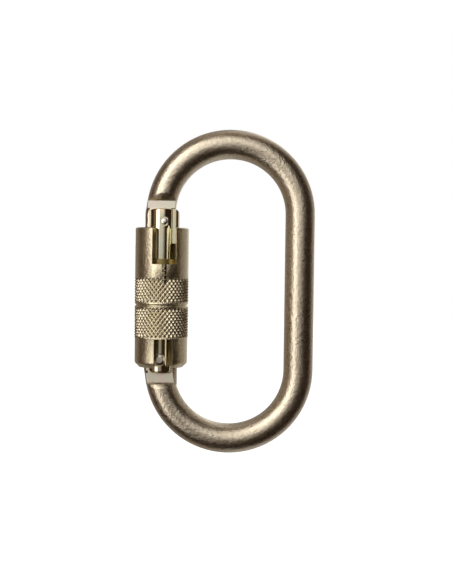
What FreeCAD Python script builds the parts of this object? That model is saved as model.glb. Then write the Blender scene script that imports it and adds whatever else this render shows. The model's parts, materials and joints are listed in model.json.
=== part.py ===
import FreeCAD, Part
import math
import os

# Steel oval carabiner with a turning lock sleeve on its gate.
# The frame stands upright: +Z runs from the hinge end to the nose end, +X from the gate to the spine,
# and the front looks along -Y. The origin is the centre of the oval. All lengths are in millimetres.

# Oval frame
ROD_R = 5.0
BEND_R = 23.75
STRAIGHT = 53.0

# Flats that the gate closes on
FLAT_T = 4.0
FLAT_EDGE_R = 1.6
NOSE_STEP_RISE = 2.3
TANG_STEP_RISE = 1.7
NOSE_FLAT_Z = 30.7
TANG_FLAT_Z = -31.2

# Gate barrel, its centre line set a little inside the bar's
GATE_INSET = 0.43
GATE_R = 4.45
GATE_TOP_Z = 28.0
GATE_BOTTOM_Z = -28.0
GATE_TOP_EDGE = 0.6
GATE_BOTTOM_EDGE = 1.0
SLOT_CLEARANCE = 0.1

# Nose tongue, proud of the barrel on the outer side and just inside it on the inner side
TONGUE_PROUD = 1.35
TONGUE_SHY = 0.05
TONGUE_TIP_Z = 17.6
TONGUE_TIP_R = 1.2
TONGUE_TIP_GAP = 0.4
TONGUE_LEAN = 0.9
TONGUE_LEAN_TOP = 1.4
TONGUE_SHOULDER_R = 3.0

# Web that closes the top slot on the inner side
WEB_PROUD = 1.3
WEB_GAP = 0.2
WEB_HALF_W = 2.6
WEB_CORNER_R = 1.2
WEB_TOP_Z = 27.9
WEB_TOP_R = 1.6
WEB_TOP_GAP = 0.3
WEB_FOOT_H = 2.0
WEB_FOOT_R = 0.8

# Latch rivet and the hook notch that takes it
LATCH_X = 0.9
LATCH_Z = 23.6
LATCH_R = 1.2
LATCH_RECESS_R = 1.6
LATCH_RECESS_DEPTH = 0.55
NOTCH_CLEARANCE = 0.25
NOTCH_HOOK = 0.6
NOTCH_LIP_W = 0.5
NOTCH_LIP_R = 0.3

# Hinge rivet
HINGE_X = -0.25
HINGE_Z = -23.3
HINGE_R = 1.5
HINGE_CLEARANCE = 0.05
HINGE_HEAD_R = 2.0
HINGE_HEAD_T = 0.5
HINGE_HEAD_GAP = 0.1
HINGE_DOME = 0.45
HINGE_SEAT_DEPTH = 0.75

# Tang of the hinge
TANG_X = -0.15
TANG_HALF_W = 5.7
TANG_LEAN = 0.9
TANG_SHOULDER_R = 4.0
ROOT_GAP = 0.4

# Cam on the tang and the plunger that rides on it
GATE_TRAVEL_DEG = 27.0
PLUNGER_R = 1.9
PLUNGER_L = 6.0
PLUNGER_GAP = 0.15
CAM_LOW = 4.2
CAM_LIFT = 1.2
CAM_GAP = 0.03
CAM_LEAD_IN_DEG = 14.0
CAM_RUN_OUT_DEG = 9.0
CAM_SHOULDER_X = 3.4
CAM_SHOULDER_Z = 4.9

# Return spring above the plunger
RETURN_WIRE_D = 0.5
RETURN_COIL_R = 1.4
RETURN_TURNS = 6.5
RETURN_L = 6.8
SPRING_SIDES = 8

# Lock sleeve
SLEEVE_WALL = 3.0
KNURL_RISE = 0.1
SKIRT_DROP = 0.1
SLEEVE_TOP_Z = 21.5
SLEEVE_BOTTOM_Z = -25.9
KNURL_TOP_Z = 4.6
GROOVE_Z = -4.75
GROOVE_HALF_W = 0.5
GROOVE_DEPTH = 0.55
KNURL_BOTTOM_Z = -16.0
SLEEVE_EDGE = 0.5
SLEEVE_BORE_EDGE = 0.3
SKIRT_CHAMFER_H = 1.5
SKIRT_CHAMFER_W = 1.5
SKIRT_CORNER_R = 1.2
SKIRT_RIM_R = 0.3
SKIRT_EDGE_H = 0.8
SKIRT_EDGE_W = 0.15
SKIRT_WIDENING = 1.0
SLEEVE_TRAVEL_DEG = 81.0

# Windows milled through the sleeve, turned a little from the front
WINDOW_TURN_DEG = 9.0
UPPER_WINDOW_HALF_W = 4.1
UPPER_WINDOW_Z = 9.06
LOWER_WINDOW_HALF_W = 3.2
WINDOW_CORNER_R = 0.4
LEG_SLOT_W = 1.75
LEG_SLOT_Z = 3.3
EAR_EDGE_GAP = 0.4
CUTAWAY_X = -1.3
CUTAWAY_Z = 15.5

# Thrust flange inside the sleeve, with the pocket of the stop pin
FLANGE_TOP_Z = -4.0
FLANGE_T = 2.5
FLANGE_GAP = 0.07
STOP_PIN_R = 0.8
STOP_PIN_DEG = 180.0
STOP_PIN_INNER_R = 2.7
STOP_PIN_SHY = 0.2
STOP_PIN_RISE = 1.0
STOP_CLEARANCE = 0.15

# Torsion spring of the sleeve
TORSION_WIRE_D = 0.9
TORSION_GATE_GAP = 0.36
TORSION_BORE_GAP = 0.39
TORSION_TOP_GAP = 0.05
TORSION_PITCH = 1.6
TORSION_TURNS = 7.0
TORSION_LEG_SHY = 0.7
TORSION_INNER_LEG_R = 3.1
TORSION_BEND_R = 0.95
LEG_HOLE_R = 0.8

# Collar, washer and snap ring on the gate
COLLAR_GAP = 0.1
COLLAR_T = 1.84
COLLAR_EDGE = 0.3
WASHER_GAP = 0.5
WASHER_T = 0.8
SNAP_RING_PROUD = 0.85
SNAP_RING_SEAT = 0.55
SNAP_RING_T = 1.0
SNAP_RING_OPENING_DEG = 40.0

# Long enough to cut right through any piece, and a cut's overrun past a face
THROUGH = 40.0
OVERRUN = 1.0

GATE_AXIS_X = GATE_INSET - BEND_R
HALF_T = FLAT_T / 2
SLOT_HALF_W = HALF_T + SLOT_CLEARANCE
BEND_Z = STRAIGHT / 2
TONGUE_OUT = GATE_R + TONGUE_PROUD
TONGUE_IN = GATE_R - TONGUE_SHY
WEB_OUT = GATE_R + WEB_PROUD
EAR_EDGE_Y = EAR_EDGE_GAP - HALF_T
TORSION_COIL_R = GATE_R + TORSION_GATE_GAP + TORSION_WIRE_D / 2
BORE_R = TORSION_COIL_R + TORSION_WIRE_D / 2 + TORSION_BORE_GAP
SLEEVE_R = BORE_R + SLEEVE_WALL
KNURL_R = SLEEVE_R + KNURL_RISE
SKIRT_R = SLEEVE_R - SKIRT_DROP
SKIRT_BORE_R = BORE_R + SKIRT_WIDENING
TORSION_LEG_R = SLEEVE_R - TORSION_LEG_SHY
COLLAR_R = BORE_R - COLLAR_GAP
STOP_PIN_OUTER_R = BORE_R - STOP_PIN_SHY
WASHER_R = SKIRT_BORE_R - WASHER_GAP
SNAP_RING_R = GATE_R + SNAP_RING_PROUD
SNAP_RING_INNER_R = GATE_R - SNAP_RING_SEAT
FLANGE_BOTTOM_Z = FLANGE_TOP_Z - FLANGE_T
SLOT_ROOT_TOP_Z = TONGUE_TIP_Z - TONGUE_TIP_GAP
SLOT_ROOT_BOTTOM_Z = HINGE_Z + TANG_HALF_W + ROOT_GAP
NOSE_CENTRE_Z = HINGE_Z + CAM_LOW + PLUNGER_R
PLUNGER_TOP_Z = NOSE_CENTRE_Z + PLUNGER_L
PLUNGER_BORE_TOP_Z = PLUNGER_TOP_Z + RETURN_L
COLLAR_Z = UPPER_WINDOW_Z
WASHER_Z = FLANGE_BOTTOM_Z - WASHER_T
SNAP_RING_Z = WASHER_Z - SNAP_RING_T
STOP_PIN_Z = FLANGE_BOTTOM_Z + STOP_PIN_RISE
TORSION_TOP_Z = COLLAR_Z - TORSION_WIRE_D / 2 - TORSION_TOP_GAP
TORSION_BOTTOM_Z = TORSION_TOP_Z - TORSION_TURNS * TORSION_PITCH


def vec(x, y, z):
    return FreeCAD.Vector(x, y, z)


def rounded_wire(corners, place):
    """A closed outline of straight sides, each corner (a, b, radius) rounded by an arc."""
    ends = []
    count = len(corners)
    for i, (a, b, radius) in enumerate(corners):
        before = corners[i - 1]
        after = corners[(i + 1) % count]
        here = place(a, b)
        if radius == 0:
            ends.append((here, here, here))
            continue
        back = place(before[0], before[1]).sub(here).normalize()
        on = place(after[0], after[1]).sub(here).normalize()
        half_angle = back.getAngle(on) / 2
        leg = radius / math.tan(half_angle)
        middle = back.add(on).normalize().multiply(radius / math.sin(half_angle) - radius)
        ends.append((here.add(back.multiply(leg)), here.add(middle), here.add(on.multiply(leg))))
    edges = []
    for i, (start, middle, end) in enumerate(ends):
        if start.distanceToPoint(end) > 1e-6:
            edges.append(Part.Arc(start, middle, end).toShape())
        following = ends[(i + 1) % count][0]
        if end.distanceToPoint(following) > 1e-6:
            edges.append(Part.LineSegment(end, following).toShape())
    return Part.Wire(edges)


def side_plate(corners, half_t):
    """A plate whose outline lies in XZ, counted across from the gate's centre line."""
    wire = rounded_wire(corners, lambda x, z: vec(GATE_AXIS_X + x, -half_t, z))
    return Part.Face(wire).extrude(vec(0, 2 * half_t, 0))


def turned(corners):
    """A ring about the gate's centre line, from an outline of (radius, z, corner radius)."""
    wire = rounded_wire(corners, lambda r, z: vec(GATE_AXIS_X + r, 0, z))
    return Part.Face(wire).revolve(vec(GATE_AXIS_X, 0, 0), vec(0, 0, 1), 360)


def upright(radius, z_low, z_high):
    return Part.makeCylinder(radius, z_high - z_low, vec(GATE_AXIS_X, 0, z_low), vec(0, 0, 1))


def cross_cylinder(x, z, radius, half_length):
    return Part.makeCylinder(radius, 2 * half_length, vec(GATE_AXIS_X + x, -half_length, z), vec(0, 1, 0))


def gate_box(x_low, x_high, y_low, y_high, z_low, z_high):
    corner = vec(GATE_AXIS_X + x_low, y_low, z_low)
    return Part.makeBox(x_high - x_low, y_high - y_low, z_high - z_low, corner)


def turn_about_gate(shape, degrees):
    shape.rotate(vec(GATE_AXIS_X, 0, 0), vec(0, 0, 1), degrees)
    return shape


def front_direction(degrees):
    """The direction that many degrees round from the front, towards the spine."""
    angle = math.radians(degrees)
    return vec(math.sin(angle), -math.cos(angle), 0)


def sector(outer_r, z_low, z_high, from_deg, to_deg):
    """A slice of a cylinder about the gate's centre line, between two angles from the front."""
    slice_deg = to_deg - from_deg
    centre = vec(GATE_AXIS_X, 0, z_low)
    piece = Part.makeCylinder(outer_r, z_high - z_low, centre, vec(0, 0, 1), slice_deg)
    return turn_about_gate(piece, from_deg - 90)


def oval_rod():
    """The bent round bar, from just above the gate over the spine to just below it."""
    nose_end = vec(-BEND_R, 0, BEND_Z - ROD_R)
    edges = [
        Part.LineSegment(nose_end, vec(-BEND_R, 0, BEND_Z)).toShape(),
        Part.Arc(vec(-BEND_R, 0, BEND_Z), vec(0, 0, BEND_Z + BEND_R), vec(BEND_R, 0, BEND_Z)).toShape(),
        Part.LineSegment(vec(BEND_R, 0, BEND_Z), vec(BEND_R, 0, -BEND_Z)).toShape(),
        Part.Arc(vec(BEND_R, 0, -BEND_Z), vec(0, 0, -BEND_Z - BEND_R), vec(-BEND_R, 0, -BEND_Z)).toShape(),
        Part.LineSegment(vec(-BEND_R, 0, -BEND_Z), vec(-BEND_R, 0, ROD_R - BEND_Z)).toShape(),
    ]
    ring = Part.Wire(Part.Circle(nose_end, vec(0, 0, 1), ROD_R).toShape())
    rod = Part.Wire(edges).makePipeShell([ring], True, False)
    side = 2 * ROD_R
    return rod.cut(gate_box(-side, side, -side, side, GATE_BOTTOM_Z, WEB_TOP_Z + WEB_TOP_GAP))


def step_cuts(flat_z, rise_to_bar, side):
    """The two wedges that bring the round bar down to its flats, front and back."""
    outer = 1.5 * ROD_R
    rise = rise_to_bar * (outer - HALF_T) / (ROD_R - HALF_T)
    cuts = []
    for face in (-1, 1):
        def place(y, z):
            return vec(GATE_AXIS_X - 2 * ROD_R, face * y, flat_z + side * z)
        corners = [(HALF_T, 0, 0), (outer, rise, 0), (outer, -2 * ROD_R, 0), (HALF_T, -2 * ROD_R, 0)]
        wedge = Part.Face(rounded_wire(corners, place))
        cuts.append(wedge.extrude(vec(4 * ROD_R, 0, 0)))
    return cuts


def round_long_edges(plate, chosen):
    """Rounds the plate's front and back edges whose middle passes the test."""
    edges = []
    for edge in plate.Edges:
        middle = edge.valueAt((edge.FirstParameter + edge.LastParameter) / 2)
        start = edge.valueAt(edge.FirstParameter)
        on_face = abs(abs(middle.y) - HALF_T) < 1e-6 and abs(abs(start.y) - HALF_T) < 1e-6
        if on_face and abs(middle.y - start.y) < 1e-6 and chosen(middle.x - GATE_AXIS_X, middle.z):
            edges.append(edge)
    return plate.makeFillet(FLAT_EDGE_R, edges)


def hook_notch():
    """The mouth in the tongue's inner edge, with a lip that holds the rivet under load."""
    inner = LATCH_X - LATCH_R - NOTCH_CLEARANCE
    roof = LATCH_Z + LATCH_R + NOTCH_CLEARANCE
    lip = LATCH_Z - LATCH_R - 2 * NOTCH_CLEARANCE
    floor = lip - NOTCH_HOOK
    lip_x = LATCH_X + LATCH_R + 2 * NOTCH_LIP_W
    outside = TONGUE_IN + OVERRUN
    corners = [
        (inner, roof, LATCH_R),
        (outside, roof, 0),
        (outside, lip, 0),
        (lip_x, lip, NOTCH_LIP_R),
        (lip_x - NOTCH_LIP_W, floor, NOTCH_LIP_R),
        (inner, floor, LATCH_R),
    ]
    return side_plate(corners, FLAT_T)


def nose_tongue():
    """The plate in the gate's top slot, which leans in at its top to meet the bar."""
    root_z = NOSE_FLAT_Z + TONGUE_LEAN_TOP
    corners = [
        (-TONGUE_OUT, TONGUE_TIP_Z, TONGUE_TIP_R),
        (-TONGUE_OUT, GATE_TOP_Z - TONGUE_SHOULDER_R / 2, TONGUE_SHOULDER_R),
        (TONGUE_LEAN - TONGUE_OUT, root_z, 0),
        (TONGUE_IN, root_z, 0),
        (TONGUE_IN, TONGUE_TIP_Z, TONGUE_TIP_R),
    ]
    plate = side_plate(corners, HALF_T)

    def outer_edges(x, z):
        return x < TONGUE_LEAN - TONGUE_IN and z < root_z - OVERRUN / 2

    plate = round_long_edges(plate, outer_edges)
    return plate.cut(hook_notch())


def cam_point(turn_deg):
    """A point of the cam's rim for the plunger's nose, at this much of the gate's turn."""
    lift_per_rad = CAM_LIFT / math.radians(GATE_TRAVEL_DEG)
    turn = math.radians(turn_deg)
    pitch_r = CAM_LOW + PLUNGER_R + lift_per_rad * turn
    lean = math.atan(lift_per_rad / pitch_r)
    reach = PLUNGER_R + CAM_GAP
    aim = math.atan2(-HINGE_X, pitch_r) + turn
    x = pitch_r * math.sin(aim) + reach * math.sin(lean - aim)
    z = pitch_r * math.cos(aim) - reach * math.cos(lean - aim)
    return vec(GATE_AXIS_X + HINGE_X + x, 0, HINGE_Z + z)


def hinge_tang():
    """The rounded head of the hinge flat, with the cam cut into its top."""
    left = TANG_X - TANG_HALF_W
    right = TANG_X + TANG_HALF_W
    head_r = 0.999 * TANG_HALF_W
    root_z = TANG_FLAT_Z - TANG_STEP_RISE / 2
    corners = [
        (left, HINGE_Z + TANG_HALF_W, head_r),
        (left, GATE_BOTTOM_Z + TANG_SHOULDER_R / 2, TANG_SHOULDER_R),
        (left + TANG_LEAN, root_z, 0),
        (right, root_z, 0),
        (right, HINGE_Z + TANG_HALF_W, head_r),
    ]
    plate = side_plate(corners, HALF_T)

    def all_round(x, z):
        return z > root_z + OVERRUN / 4

    plate = round_long_edges(plate, all_round)
    start = cam_point(-CAM_LEAD_IN_DEG)
    middle = cam_point(GATE_TRAVEL_DEG / 2)
    end = cam_point(GATE_TRAVEL_DEG + CAM_RUN_OUT_DEG)
    shoulder = vec(GATE_AXIS_X + HINGE_X - CAM_SHOULDER_X, 0, HINGE_Z + CAM_SHOULDER_Z)
    above = vec(shoulder.x, 0, HINGE_Z + 2 * TANG_HALF_W)
    far = vec(end.x, 0, above.z)
    edges = [
        Part.Arc(start, middle, end).toShape(),
        Part.LineSegment(end, far).toShape(),
        Part.LineSegment(far, above).toShape(),
        Part.LineSegment(above, shoulder).toShape(),
        Part.LineSegment(shoulder, start).toShape(),
    ]
    cam = Part.Face(Part.Wire(edges))
    cam.translate(vec(0, -FLAT_T, 0))
    plate = plate.cut(cam.extrude(vec(0, 2 * FLAT_T, 0)))
    return plate.cut(cross_cylinder(HINGE_X, HINGE_Z, HINGE_R + HINGE_CLEARANCE, THROUGH))


def make_frame():
    rod = oval_rod()
    for wedge in step_cuts(NOSE_FLAT_Z, NOSE_STEP_RISE, 1) + step_cuts(TANG_FLAT_Z, TANG_STEP_RISE, -1):
        rod = rod.cut(wedge)
    return rod.fuse([nose_tongue(), hinge_tang()]).removeSplitter()


def gate_web():
    """The raised strip that closes the top slot behind the tongue."""
    corners = [
        (0, -WEB_HALF_W, 0),
        (WEB_OUT, -WEB_HALF_W, WEB_CORNER_R),
        (WEB_OUT, WEB_HALF_W, WEB_CORNER_R),
        (0, WEB_HALF_W, 0),
    ]
    base_z = SLOT_ROOT_TOP_Z - WEB_FOOT_H / 2
    section = rounded_wire(corners, lambda x, y: vec(GATE_AXIS_X + x, y, base_z))
    column = Part.Face(section).extrude(vec(0, 0, WEB_TOP_Z - base_z))
    side = [
        (0, base_z, 0),
        (GATE_R - WEB_GAP, base_z, 0),
        (WEB_OUT, base_z + WEB_FOOT_H, WEB_FOOT_R),
        (WEB_OUT, WEB_TOP_Z, WEB_TOP_R),
        (0, WEB_TOP_Z, 0),
    ]
    return column.common(side_plate(side, WEB_HALF_W))


def make_gate_barrel():
    barrel = turned([
        (0, GATE_BOTTOM_Z, 0),
        (GATE_R, GATE_BOTTOM_Z, GATE_BOTTOM_EDGE),
        (GATE_R, GATE_TOP_Z, GATE_TOP_EDGE),
        (0, GATE_TOP_Z, 0),
    ])
    barrel = barrel.fuse(gate_web())
    tongue_room = gate_box(-THROUGH, TONGUE_IN + WEB_GAP, -SLOT_HALF_W, SLOT_HALF_W, SLOT_ROOT_TOP_Z, THROUGH)
    tang_room = gate_box(-THROUGH, THROUGH, -SLOT_HALF_W, SLOT_HALF_W, -THROUGH, SLOT_ROOT_BOTTOM_Z)
    plunger_bore = upright(PLUNGER_R + PLUNGER_GAP, SLOT_ROOT_BOTTOM_Z - OVERRUN, PLUNGER_BORE_TOP_Z)
    cuts = [tongue_room, tang_room, plunger_bore]
    cuts.append(cross_cylinder(LATCH_X, LATCH_Z, LATCH_R, THROUGH))
    cuts.append(cross_cylinder(HINGE_X, HINGE_Z, HINGE_R, THROUGH))
    for face in (-1, 1):
        cuts.append(recess(LATCH_X, LATCH_Z, LATCH_RECESS_R, GATE_R - LATCH_RECESS_DEPTH, face))
        head_room_r = HINGE_HEAD_R + HINGE_HEAD_GAP
        cuts.append(recess(HINGE_X, HINGE_Z, head_room_r, GATE_R - HINGE_SEAT_DEPTH, face))
    cuts.append(radial_cylinder(STOP_PIN_R, STOP_PIN_INNER_R, GATE_R + OVERRUN, STOP_PIN_DEG, STOP_PIN_Z))
    cuts.append(leg_hole())
    groove = upright(GATE_R + OVERRUN, SNAP_RING_Z, WASHER_Z)
    cuts.append(groove.cut(upright(SNAP_RING_INNER_R, SNAP_RING_Z, WASHER_Z)))
    return barrel.cut(cuts)


def recess(x, z, radius, seat_y, face):
    """A round pocket sunk from the barrel's front or back, down to a seat."""
    centre = vec(GATE_AXIS_X + x, face * seat_y, z)
    return Part.makeCylinder(radius, THROUGH, centre, vec(0, face, 0))


def radial_cylinder(radius, inner_r, outer_r, degrees, z):
    """A round bar that points straight out from the gate's centre line."""
    direction = front_direction(degrees)
    start = vec(GATE_AXIS_X, 0, z).add(vec(direction.x, direction.y, 0).multiply(inner_r))
    return Part.makeCylinder(radius, outer_r - inner_r, start, direction)


def make_latch_rivet():
    return rivet(LATCH_X, LATCH_Z, LATCH_R, [
        (LATCH_R, GATE_R - 0.25, 0),
        (LATCH_R - 0.2, GATE_R - 0.05, 0),
        (0, GATE_R - 0.05, 0),
    ])


def make_hinge_rivet():
    seat = GATE_R - HINGE_SEAT_DEPTH
    return rivet(HINGE_X, HINGE_Z, HINGE_R, [
        (HINGE_R, seat, 0),
        (HINGE_HEAD_R, seat, 0),
        (HINGE_HEAD_R, seat + HINGE_HEAD_T, 0.2),
        (HINGE_R - 0.4, seat + HINGE_HEAD_T + HINGE_DOME, 0.3),
        (0, seat + HINGE_HEAD_T + HINGE_DOME, 0),
    ])


def rivet(x, z, shaft_r, end_profile):
    """A rivet along Y, its two ends alike, from a profile of (radius, distance along)."""
    corners = [(0, 0, 0), (shaft_r, 0, 0)] + end_profile
    halves = []
    for face in (-1, 1):
        def place(r, along):
            return vec(GATE_AXIS_X + x + r, face * along, z)
        wire = rounded_wire(corners, place)
        halves.append(Part.Face(wire).revolve(vec(GATE_AXIS_X + x, 0, z), vec(0, 1, 0), 360))
    return halves[0].fuse(halves[1]).removeSplitter()


def make_gate_plunger():
    body = upright(PLUNGER_R, NOSE_CENTRE_Z, PLUNGER_TOP_Z)
    body = body.makeChamfer(0.2, [edge for edge in body.Edges if edge.BoundBox.ZMin > PLUNGER_TOP_Z - 0.01])
    nose = Part.makeSphere(PLUNGER_R, vec(GATE_AXIS_X, 0, NOSE_CENTRE_Z))
    return body.fuse(nose).removeSplitter()


def sleeve_body():
    """The turned sleeve before its windows are milled."""
    bottom_r = SKIRT_R - SKIRT_CHAMFER_W
    groove_top = GROOVE_Z + GROOVE_HALF_W
    groove_bottom = GROOVE_Z - GROOVE_HALF_W
    return turned([
        (BORE_R, SLEEVE_TOP_Z, SLEEVE_BORE_EDGE),
        (SLEEVE_R, SLEEVE_TOP_Z, SLEEVE_EDGE),
        (SLEEVE_R, KNURL_TOP_Z, 0),
        (KNURL_R, KNURL_TOP_Z, 0),
        (KNURL_R, groove_top, 0),
        (KNURL_R - GROOVE_DEPTH, GROOVE_Z, 0),
        (KNURL_R, groove_bottom, 0),
        (KNURL_R, KNURL_BOTTOM_Z, 0),
        (SKIRT_R, KNURL_BOTTOM_Z, 0),
        (SKIRT_R, SLEEVE_BOTTOM_Z + SKIRT_CHAMFER_H, SKIRT_CORNER_R),
        (bottom_r, SLEEVE_BOTTOM_Z, SKIRT_RIM_R),
        (SKIRT_BORE_R + SKIRT_EDGE_W, SLEEVE_BOTTOM_Z, 0),
        (SKIRT_BORE_R, SLEEVE_BOTTOM_Z + SKIRT_EDGE_H, 0),
        (SKIRT_BORE_R, FLANGE_BOTTOM_Z, 0),
        (GATE_R + FLANGE_GAP, FLANGE_BOTTOM_Z, 0),
        (GATE_R + FLANGE_GAP, FLANGE_TOP_Z, 0),
        (BORE_R, FLANGE_TOP_Z, 0),
    ])


def window(half_w, corner_r, z_low, z_high, reach_back, rounded_end):
    """A milled window that faces the front, its far corners rounded."""
    low_r = corner_r if rounded_end == "low" else 0
    high_r = corner_r if rounded_end == "high" else 0
    corners = [
        (-half_w, z_low, low_r),
        (half_w, z_low, low_r),
        (half_w, z_high, high_r),
        (-half_w, z_high, high_r),
    ]
    wire = rounded_wire(corners, lambda x, z: vec(GATE_AXIS_X + x, -THROUGH, z))
    block = Part.Face(wire).extrude(vec(0, THROUGH + reach_back, 0))
    return turn_about_gate(block, WINDOW_TURN_DEG)


def leg_slot():
    """The narrow slot that holds the spring's outer leg, with its pointed end."""
    half_w = LEG_SLOT_W / 2
    corners = [
        (-half_w, UPPER_WINDOW_Z + OVERRUN, 0),
        (-half_w, LEG_SLOT_Z, 0),
        (0, LEG_SLOT_Z - half_w, 0),
        (half_w, LEG_SLOT_Z, 0),
        (half_w, UPPER_WINDOW_Z + OVERRUN, 0),
    ]
    wire = rounded_wire(corners, lambda x, z: vec(GATE_AXIS_X + x, -THROUGH, z))
    return turn_about_gate(Part.Face(wire).extrude(vec(0, THROUGH, 0)), WINDOW_TURN_DEG)


def stop_pocket():
    """The arc in the flange that the stop pin runs in, as long as the sleeve's turn."""
    spread = math.degrees(math.asin((STOP_PIN_R + STOP_CLEARANCE) / GATE_R))
    start = STOP_PIN_DEG - SLEEVE_TRAVEL_DEG - spread
    end = STOP_PIN_DEG + spread
    top = STOP_PIN_Z + STOP_PIN_R + STOP_CLEARANCE
    return sector(STOP_PIN_OUTER_R + STOP_CLEARANCE, FLANGE_BOTTOM_Z - OVERRUN, top, start, end)


def make_locking_sleeve():
    sleeve = sleeve_body()
    upper = window(UPPER_WINDOW_HALF_W, WINDOW_CORNER_R, UPPER_WINDOW_Z, THROUGH, 0, "low")
    lower = window(LOWER_WINDOW_HALF_W, WINDOW_CORNER_R, -THROUGH, KNURL_BOTTOM_Z, THROUGH, "high")
    cutaway = gate_box(-THROUGH, CUTAWAY_X, EAR_EDGE_Y, THROUGH, CUTAWAY_Z, THROUGH)
    return sleeve.cut([upper, lower, leg_slot(), cutaway, stop_pocket()])


def biarc(p0, t0, p1, t1):
    """Two arcs that meet smoothly, from one point and direction to the next."""
    chord = p1.sub(p0)
    spread = t0.add(t1)
    a = 2 * (1 - t0.dot(t1))
    b = 2 * chord.dot(spread)
    c = -chord.dot(chord)
    leg = -c / b if abs(a) < 1e-9 else (-b + math.sqrt(b * b - 4 * a * c)) / (2 * a)
    knee0 = p0.add(vec(t0.x, t0.y, t0.z).multiply(leg))
    knee1 = p1.sub(vec(t1.x, t1.y, t1.z).multiply(leg))
    joint = knee0.add(knee1).multiply(0.5)
    arcs = []
    for start, knee, end in ((p0, knee0, joint), (joint, knee1, p1)):
        to_start = start.sub(knee)
        to_end = end.sub(knee)
        half = to_start.getAngle(to_end) / 2
        radius = leg * math.tan(half)
        inward = to_start.add(to_end).normalize().multiply(radius / math.sin(half) - radius)
        arcs.append(Part.Arc(start, knee.add(inward), end).toShape())
    return arcs


def coil_point(coil_r, z_start, rise, turn_deg):
    """A point of a coil about the gate's centre line and its direction, rising with the turn."""
    out = front_direction(turn_deg)
    point = vec(GATE_AXIS_X + coil_r * out.x, coil_r * out.y, z_start + rise * turn_deg / 360)
    along = vec(-out.y, out.x, rise / (2 * math.pi * coil_r)).normalize()
    return point, along


def coil_arcs(coil_r, z_start, pitch, turns, start_deg):
    """A helix of quarter turns, each a pair of arcs."""
    steps = round(turns * 4)
    edges = []
    for i in range(steps):
        first_deg = start_deg + 360 * turns * i / steps
        second_deg = start_deg + 360 * turns * (i + 1) / steps
        base = z_start - pitch * start_deg / 360
        p0, t0 = coil_point(coil_r, base, pitch, first_deg)
        p1, t1 = coil_point(coil_r, base, pitch, second_deg)
        edges += biarc(p0, t0, p1, t1)
    return edges


def bend(point, along, towards, radius):
    """A quarter bend from one direction to another at right angles."""
    half = math.sqrt(0.5)
    end = point.add(vec(along.x, along.y, along.z).multiply(radius))
    end = end.add(vec(towards.x, towards.y, towards.z).multiply(radius))
    middle = point.add(vec(along.x, along.y, along.z).multiply(radius * half))
    middle = middle.add(vec(towards.x, towards.y, towards.z).multiply(radius * (1 - half)))
    return Part.Arc(point, middle, end).toShape(), end


def wire_tube(edges, wire_d, start, along):
    """A spring's wire along its path, with an eight-sided section to keep it light."""
    circle = Part.Circle(start, along, wire_d / 2)
    corners = [circle.value(2 * math.pi * i / SPRING_SIDES) for i in range(SPRING_SIDES)]
    return Part.Wire(edges).makePipeShell([Part.makePolygon(corners + corners[:1])], True, False)


def report_gap(name, coil_r, pitch, wire_d):
    """Measures the least gap between neighbouring turns on points and prints it."""
    p0, _ = coil_point(coil_r, 0, pitch, 0)
    least = min(coil_point(coil_r, 0, pitch, d)[0].distanceToPoint(p0) for d in range(180, 540, 3))
    print(name, "least gap between turns", round(least - wire_d, 3), "mm")


def spring_legs():
    """Where the torsion spring's coil starts, so that its outer leg ends up along its slot."""
    middle_of_slot_r = (BORE_R + TORSION_LEG_R) / 2
    top_deg = WINDOW_TURN_DEG - math.degrees(math.asin(TORSION_BEND_R / middle_of_slot_r))
    start_deg = top_deg - 360 * TORSION_TURNS
    return start_deg


def inner_leg():
    """The start of the inner leg at the gate's centre and its bend onto the coil."""
    start_deg = spring_legs()
    base = TORSION_BOTTOM_Z - TORSION_PITCH * start_deg / 360
    point, along = coil_point(TORSION_COIL_R, base, TORSION_PITCH, start_deg)
    out = front_direction(start_deg)
    inward = vec(-out.x, -out.y, 0)
    back = vec(-along.x, -along.y, -along.z)
    arc, end = bend(point, back, inward, TORSION_BEND_R)
    length = TORSION_COIL_R - TORSION_BEND_R - TORSION_INNER_LEG_R
    tip = end.add(inward.multiply(length))
    return tip, end, arc


def leg_hole():
    """The hole in the barrel that takes the spring's inner leg."""
    tip, end, _ = inner_leg()
    direction = end.sub(tip).normalize()
    return Part.makeCylinder(LEG_HOLE_R, TORSION_COIL_R, tip, direction)


def make_sleeve_torsion_spring():
    start_deg = spring_legs()
    edges = coil_arcs(TORSION_COIL_R, TORSION_BOTTOM_Z, TORSION_PITCH, TORSION_TURNS, start_deg)
    tip, leg_end, inner_arc = inner_leg()
    base = TORSION_BOTTOM_Z - TORSION_PITCH * start_deg / 360
    top_deg = start_deg + 360 * TORSION_TURNS
    point, along = coil_point(TORSION_COIL_R, base, TORSION_PITCH, top_deg)
    outward = front_direction(top_deg)
    outer_arc, bend_end = bend(point, along, outward, TORSION_BEND_R)
    reach = TORSION_LEG_R - TORSION_COIL_R - TORSION_BEND_R
    leg_tip = bend_end.add(vec(outward.x, outward.y, 0).multiply(reach))
    path = [Part.LineSegment(tip, leg_end).toShape(), inner_arc]
    path += edges
    path += [outer_arc, Part.LineSegment(bend_end, leg_tip).toShape()]
    report_gap("torsion spring", TORSION_COIL_R, TORSION_PITCH, TORSION_WIRE_D)
    return wire_tube(path, TORSION_WIRE_D, tip, leg_end.sub(tip).normalize())


def make_gate_return_spring():
    pitch = (RETURN_L - RETURN_WIRE_D) / RETURN_TURNS
    start_z = PLUNGER_TOP_Z + RETURN_WIRE_D / 2
    edges = coil_arcs(RETURN_COIL_R, start_z, pitch, RETURN_TURNS, 0)
    start, along = coil_point(RETURN_COIL_R, start_z, pitch, 0)
    report_gap("return spring", RETURN_COIL_R, pitch, RETURN_WIRE_D)
    coil = wire_tube(edges, RETURN_WIRE_D, start, along)
    end_room = upright(GATE_R, PLUNGER_TOP_Z, PLUNGER_BORE_TOP_Z)
    return coil.common(end_room)


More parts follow.
